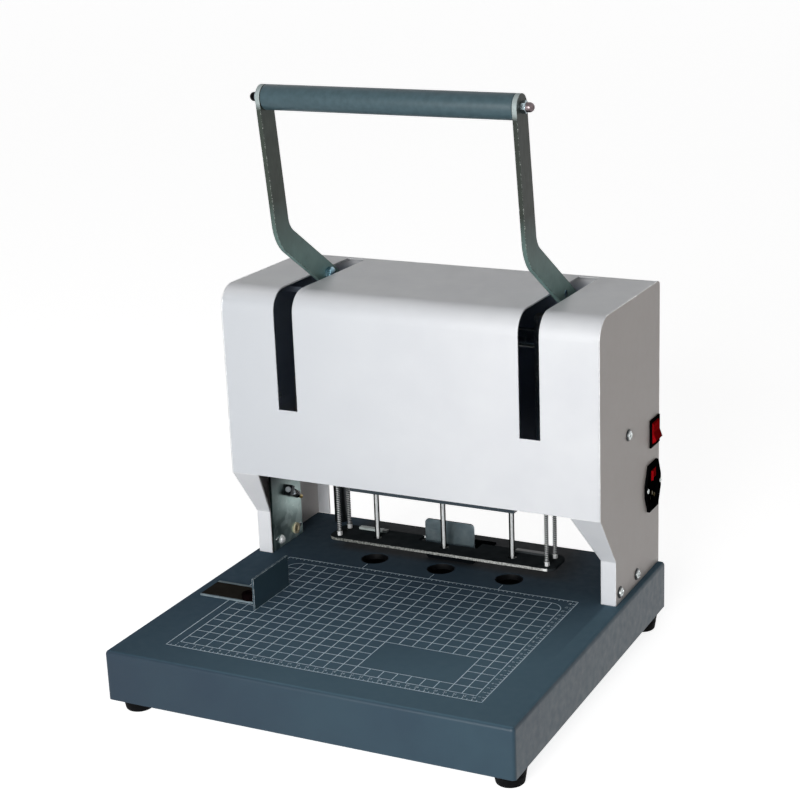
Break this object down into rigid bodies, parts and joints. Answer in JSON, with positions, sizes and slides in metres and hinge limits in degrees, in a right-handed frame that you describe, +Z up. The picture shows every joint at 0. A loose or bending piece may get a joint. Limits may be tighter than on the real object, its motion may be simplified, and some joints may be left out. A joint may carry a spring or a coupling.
{
  "type": "paper drilling and binding machine",
  "caption": "Desk-top paper drilling machine for binding: a gridded deck with side gauge and back stop, hollow drill bits and a sprung press plate under a slotted cover, and a pull-down lever.",
  "frame": {"origin": "on the table, below the middle of the base", "axes": "+X to the operator's right, +Y to the back, +Z up; the lever stands where the picture shows it"},
  "size_m": [0.45, 0.424, 0.6115],
  "materials": {
    "navy_paint": "satin powder coat",
    "black_rubber": "matte",
    "zinc_steel": "zinc plated",
    "bright_steel": "ground",
    "polished_steel": "polished",
    "pad_plastic": "matte",
    "white_paint": "satin powder coat",
    "bronze": "turned",
    "black_plastic": "fine grain",
    "beige_plastic": "matte",
    "grey_paint": "satin",
    "grip_paint": "satin",
    "bare_aluminium": "milled",
    "blue_grey_paint": "satin",
    "motor_paint": "satin",
    "red_plastic": "clear gloss"
  },
  "bodies": {
    "stand": {"base_tray": "navy_paint", "bottom_plate": "navy_paint", "feet": "black_rubber", "foot_screws": "zinc_steel", "drill_pads": "pad_plastic", "side_cover_left": "white_paint", "side_cover_right": "white_paint", "wrap_cover": "white_paint", "cover_screws": "zinc_steel", "frame_spacers": "zinc_steel", "frame_left": "zinc_steel", "frame_right": "zinc_steel", "frame_bolts": "zinc_steel", "shaft_bushes": "bronze", "column_brackets": "zinc_steel", "guide_columns": "bright_steel", "column_screws": "zinc_steel", "return_springs": "bright_steel", "deck_screws": "bright_steel", "limit_switch": "black_plastic", "earth_screw": "zinc_steel", "cable_grommet": "beige_plastic", "switch_body": "black_plastic", "inlet_body": "black_plastic", "inlet_pins": "bronze", "inlet_screws": "zinc_steel"},
    "lever": {"lever_arm_left": "grey_paint", "lever_arm_right": "grey_paint", "lever_shaft": "bright_steel", "pinions": "bright_steel", "arm_bolts": "zinc_steel", "tie_rod": "bright_steel", "cap_nuts": "zinc_steel"},
    "grip": {"grip_tube": "grip_paint"},
    "drill_head": {"crossbeam": "bare_aluminium", "spindle_bar": "blue_grey_paint", "top_plate": "bare_aluminium", "head_spacers": "bright_steel", "racks": "bright_steel", "column_bushes": "bronze", "motor_housing": "motor_paint", "belts": "black_rubber", "press_springs": "bright_steel"},
    "press": {"press_plate": "polished_steel", "press_rods": "bright_steel", "press_nuts": "zinc_steel", "press_ribs": "zinc_steel"},
    "left_spindle": {"spindle_left": "bright_steel", "bit_left": "bright_steel"},
    "middle_spindle": {"spindle_middle": "bright_steel", "bit_middle": "bright_steel"},
    "right_spindle": {"spindle_right": "bright_steel", "bit_right": "bright_steel"},
    "gauge": {"side_gauge": "blue_grey_paint", "gauge_nut": "zinc_steel"},
    "knob": {"gauge_knob": "black_plastic"},
    "stop": {"back_stop": "zinc_steel"},
    "switch_rocker": {"main_rocker": "red_plastic"},
    "socket_rocker": {"inlet_rocker": "red_plastic"}
  },
  "joints": [
    {"name": "lever_swing", "type": "hinge", "parent": "stand", "child": "lever", "pos_m": [0, 0.172, 0.3265], "axis": [1, 0, 0], "range_deg": [-35, 62]},
    {"name": "grip_spin", "type": "hinge", "parent": "lever", "child": "grip", "pos_m": [0, 0.0195, 0.5985], "axis": [1, 0, 0], "continuous": true},
    {"name": "head_lift", "type": "slide", "parent": "stand", "child": "drill_head", "axis": [0, 0, 1], "range_m": [-0.0272, 0.0155], "deforming": ["return_springs"]},
    {"name": "press_slide", "type": "slide", "parent": "drill_head", "child": "press", "axis": [0, 0, 1], "range_m": [-0.0052, 0.009], "deforming": ["press_springs"]},
    {"name": "middle_spin", "type": "hinge", "parent": "drill_head", "child": "middle_spindle", "pos_m": [0, 0.112, 0.1715], "axis": [0, 0, 1], "continuous": true},
    {"name": "left_spin", "type": "hinge", "parent": "drill_head", "child": "left_spindle", "pos_m": [-0.0827, 0.112, 0.1715], "axis": [0, 0, 1], "continuous": true},
    {"name": "right_spin", "type": "hinge", "parent": "drill_head", "child": "right_spindle", "pos_m": [0.0827, 0.112, 0.1715], "axis": [0, 0, 1], "continuous": true},
    {"name": "gauge_slide", "type": "slide", "parent": "stand", "child": "gauge", "axis": [1, 0, 0], "range_m": [-0.042, 0.007]},
    {"name": "knob_turn", "type": "hinge", "parent": "gauge", "child": "knob", "pos_m": [-0.153, -0.051, 0.0715], "axis": [0, 0, 1], "range_deg": [0, 180]},
    {"name": "stop_slide", "type": "slide", "parent": "stand", "child": "stop", "axis": [0, 1, 0], "range_m": [-0.004, 0.024]},
    {"name": "switch_tip", "type": "hinge", "parent": "stand", "child": "switch_rocker", "pos_m": [0.214, 0.1935, 0.229], "axis": [0, 1, 0], "range_deg": [0, 20]},
    {"name": "socket_switch_tip", "type": "hinge", "parent": "stand", "child": "socket_rocker", "pos_m": [0.214, 0.1865, 0.183], "axis": [0, 0, -1], "range_deg": [0, 20]}
  ],
  "couplings": [
    {"joint": "head_lift", "follows": "lever_swing", "m_per_rad": -0.025},
    {"joint": "press_slide", "follows": "lever_swing", "m_per_rad": 0.0082},
    {"joint": "left_spin", "follows": "middle_spin", "ratio": 1},
    {"joint": "right_spin", "follows": "middle_spin", "ratio": 1}
  ]
}
